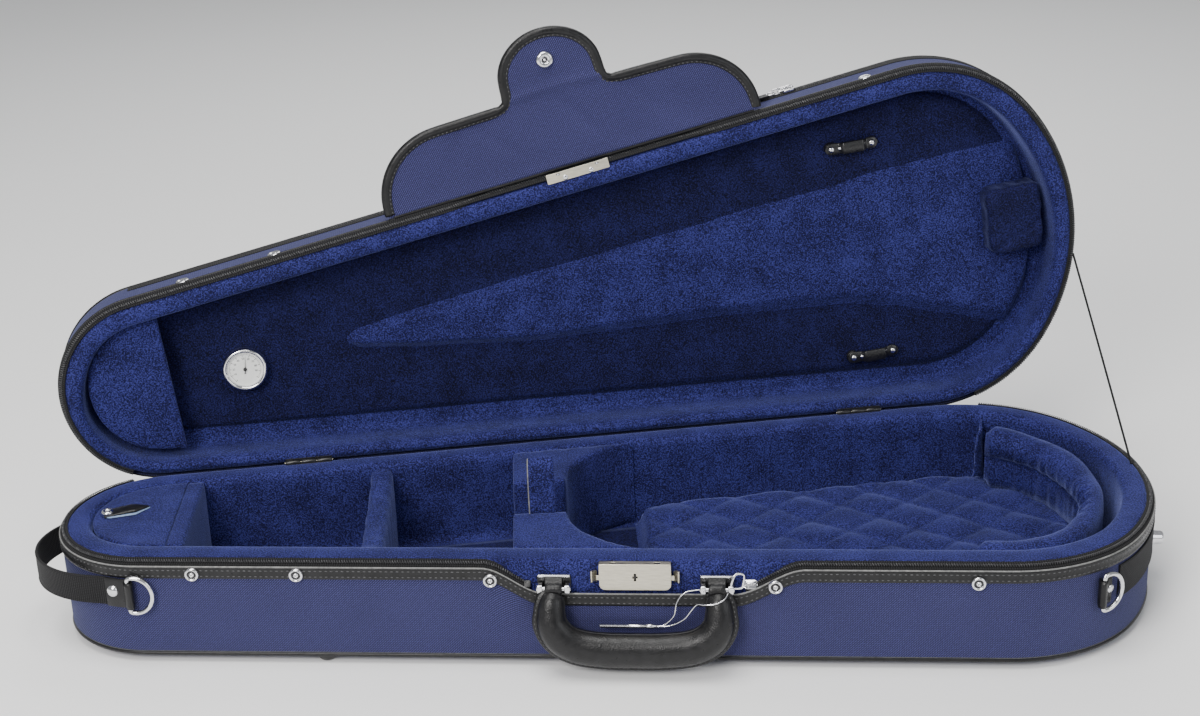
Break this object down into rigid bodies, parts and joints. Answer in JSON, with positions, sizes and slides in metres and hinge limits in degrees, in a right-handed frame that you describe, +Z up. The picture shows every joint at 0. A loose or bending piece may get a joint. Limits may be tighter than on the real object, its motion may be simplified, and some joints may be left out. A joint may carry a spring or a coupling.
{
  "type": "violin case",
  "caption": "Open dart-shaped violin case with canvas shell, velvet lining, zipped lid with flap, bow holders, lock, carrying handle, D-rings and end strap.",
  "frame": {"origin": "centre of the base's flat underside, at half the case's length and width", "axes": "+X along the case from its narrow end to its wide end, +Y towards the hinges, +Z up; the lid stands open at the rear"},
  "size_m": [0.8183, 0.3361, 0.3968],
  "materials": {
    "canvas": "blue woven canvas, fine diagonal weave, matt",
    "velvet": "deep blue short-pile velvet with uneven nap",
    "black_leather": "black grained leather, semi-gloss",
    "webbing": "black ribbed webbing and zip tape",
    "chrome": "polished",
    "nickel": "satin nickel plate",
    "black_plastic": "black moulded plastic, semi-gloss"
  },
  "bodies": {
    "base": {"base_shell": "canvas", "base_lining": "velvet", "tip_wall": "velvet", "divider": "velvet", "neck_block": "velvet", "floor_pad": "velvet", "bolster": "velvet", "base_trim": "black_leather", "d_ring_tab_left": "black_leather", "d_ring_tab_right": "black_leather", "base_zip_left": "webbing", "base_zip_right": "webbing", "end_band": "webbing", "end_strap": "webbing", "lid_stay": "webbing", "lock_plate": "nickel", "hinge_1_base": "nickel", "hinge_2_base": "nickel", "handle_bracket_left": "chrome", "handle_bracket_right": "chrome", "end_foot_1": "chrome", "end_foot_2": "chrome", "foot_1": "black_plastic", "foot_2": "black_plastic", "foot_3": "black_plastic", "foot_4": "black_plastic", "rivet_1": "chrome", "rivet_2": "chrome", "rivet_3": "chrome", "rivet_4": "chrome", "rivet_5": "chrome"},
    "lid": {"lid_shell": "canvas", "lid_lining": "velvet", "lid_zip": "webbing", "lid_pad": "velvet", "bow_tip_pocket": "velvet", "hygrometer_case": "chrome", "bow_spinner_post_front": "black_plastic", "bow_spinner_post_rear": "black_plastic", "pressure_block": "velvet", "strike_plate": "nickel", "lid_pocket_panel": "canvas", "hinge_1_lid": "nickel", "hinge_2_lid": "nickel"},
    "flap": {"flap_panel": "canvas"},
    "flap_tongue": {"flap_tongue": "canvas", "flap_snap": "chrome"},
    "pocket_slider": {"pocket_slider": "chrome"},
    "bow_spinner_front": {"bow_spinner_front": "black_plastic"},
    "bow_spinner_rear": {"bow_spinner_rear": "black_plastic"},
    "hygrometer_needle": {"hygrometer_needle": "black_plastic"},
    "carrying_handle": {"handle": "black_leather", "key": "chrome"},
    "lock_slider": {"lock_slider": "nickel"},
    "lock_plug": {"lock_plug": "nickel"},
    "d_ring_left": {"d_ring_left": "chrome"},
    "d_ring_right": {"d_ring_right": "chrome"},
    "tip_hatch": {"tip_hatch": "velvet", "hatch_tab": "black_leather"},
    "neck_strap": {"neck_strap": "velvet"}
  },
  "joints": [
    {"name": "lid_hinge", "type": "hinge", "parent": "base", "child": "lid", "pos_m": [-0.3302, 0.06708, 0.0754], "axis": [0.9938, 0.1111, 0], "range_deg": [0, 92.5], "deforming": ["lid_stay"]},
    {"name": "flap_fold", "type": "hinge", "parent": "lid", "child": "flap", "pos_m": [-0.01288, 0.11912, 0.29228], "axis": [-0.9682, -0.1179, -0.2206], "range_deg": [-62, 85]},
    {"name": "tongue_fold", "type": "hinge", "parent": "flap", "child": "flap_tongue", "pos_m": [-0.02525, 0.12011, 0.34607], "axis": [-0.9682, -0.1179, -0.2206], "range_deg": [-80, 80]},
    {"name": "pocket_zip_slide", "type": "slide", "parent": "lid", "child": "pocket_slider", "axis": [0.9682, 0.1179, 0.2206], "range_m": [-0.38, 0.04]},
    {"name": "bow_spinner_front_turn", "type": "hinge", "parent": "lid", "child": "bow_spinner_front", "pos_m": [0.18617, 0.16452, 0.28043], "axis": [-0.111, 0.9929, -0.0436], "range_deg": [-40, 100]},
    {"name": "bow_spinner_rear_turn", "type": "hinge", "parent": "lid", "child": "bow_spinner_rear", "pos_m": [0.2061, 0.1592, 0.10867], "axis": [-0.111, 0.9929, -0.0436], "range_deg": [-100, 12]},
    {"name": "needle_turn", "type": "hinge", "parent": "lid", "child": "hygrometer_needle", "pos_m": [-0.26993, 0.10339, 0.14319], "axis": [-0.111, 0.9929, -0.0436], "range_deg": [-120, 120]},
    {"name": "handle_swing", "type": "hinge", "parent": "base", "child": "carrying_handle", "pos_m": [0.01293, -0.11479, 0.0575], "axis": [-0.9938, 0.1111, 0], "range_deg": [0, 110]},
    {"name": "lock_slide", "type": "slide", "parent": "base", "child": "lock_slider", "axis": [0.9938, -0.1111, 0], "range_m": [0, 0.002], "stiffness_N_per_m": 300},
    {"name": "lock_plug_turn", "type": "hinge", "parent": "base", "child": "lock_plug", "pos_m": [0.01342, -0.11042, 0.0665], "axis": [-0.1111, -0.9938, 0], "range_deg": [0, 90]},
    {"name": "d_ring_left_swing", "type": "hinge", "parent": "base", "child": "d_ring_left", "pos_m": [-0.3362, -0.07577, 0.05], "axis": [0, 0, -1], "range_deg": [0, 150]},
    {"name": "d_ring_right_swing", "type": "hinge", "parent": "base", "child": "d_ring_right", "pos_m": [0.32945, -0.1307, 0.046], "axis": [0, 0, -1], "range_deg": [0, 150]},
    {"name": "hatch_lift", "type": "hinge", "parent": "base", "child": "tip_hatch", "pos_m": [-0.3128, 0, 0.0751], "axis": [0, -1, 0], "range_deg": [-110, 0]},
    {"name": "neck_strap_fold", "type": "hinge", "parent": "base", "child": "neck_strap", "pos_m": [-0.048, -0.0265, 0.0751], "axis": [-1, 0, 0], "range_deg": [0, 70]}
  ],
  "couplings": [
    {"joint": "neck_strap_fold", "follows": "lid_hinge", "ratio": 0.7}
  ]
}
